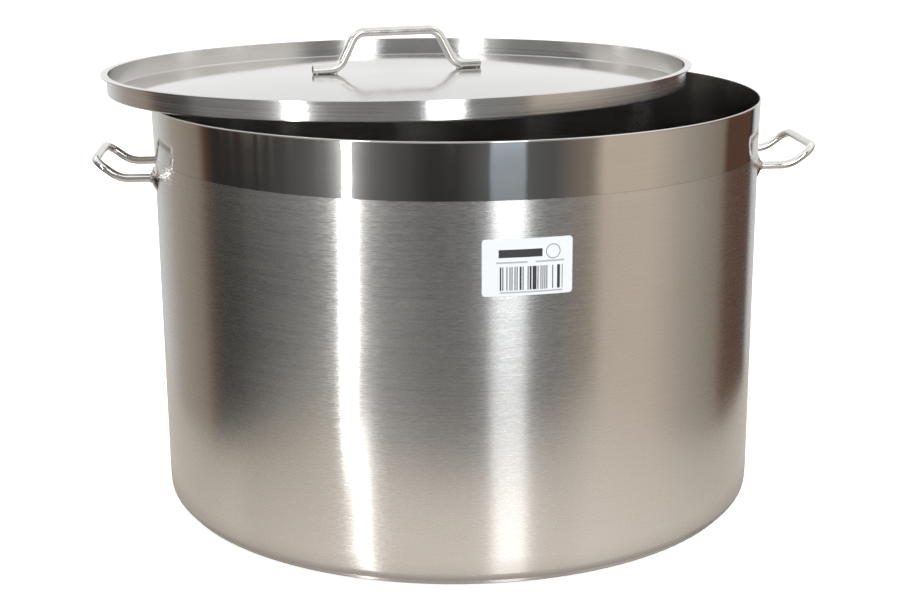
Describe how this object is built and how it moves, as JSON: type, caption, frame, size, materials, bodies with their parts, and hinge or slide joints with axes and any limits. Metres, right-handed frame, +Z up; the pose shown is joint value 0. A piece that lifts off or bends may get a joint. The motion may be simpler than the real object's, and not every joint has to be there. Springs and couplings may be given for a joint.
{
  "type": "brew kettle",
  "caption": "Wide stainless brewing pot with a sandwich base, two side handles and a loose recessed lid with a bridge handle, set askew on the rim.",
  "frame": {"origin": "centre of the base's underside, on the kettle's axis, where it stands", "axes": "+Z up along the kettle's axis, -Y towards the front where the label is, +X towards the right handle"},
  "size_m": [0.7212, 0.6634, 0.4609],
  "materials": {
    "pot_steel": "satin, brushed around the axis, polished near the rim",
    "polished_steel": "mirror polished",
    "lid_steel": "spun, bright satin",
    "weld_metal": "dressed weld, a little heat tinted",
    "core_aluminium": "plain, sealed inside",
    "label_paper": "white self-adhesive label"
  },
  "bodies": {
    "kettle": {"kettle_shell": "pot_steel", "base_core": "core_aluminium", "base_cladding": "pot_steel", "wall_label": "label_paper", "left_handle_loop": "polished_steel", "left_front_boss": "polished_steel", "left_front_weld": "weld_metal", "left_back_boss": "polished_steel", "left_back_weld": "weld_metal", "right_handle_loop": "polished_steel", "right_front_boss": "polished_steel", "right_front_weld": "weld_metal", "right_back_boss": "polished_steel", "right_back_weld": "weld_metal"},
    "lid": {"lid_pan": "lid_steel", "lid_handle": "lid_steel", "lid_left_welds": "weld_metal", "lid_right_welds": "weld_metal"}
  },
  "joints": [
    {"name": "lid_lift", "type": "slide", "parent": "kettle", "child": "lid", "axis": [0, 0, 1], "range_m": [0, 0.3]}
  ]
}
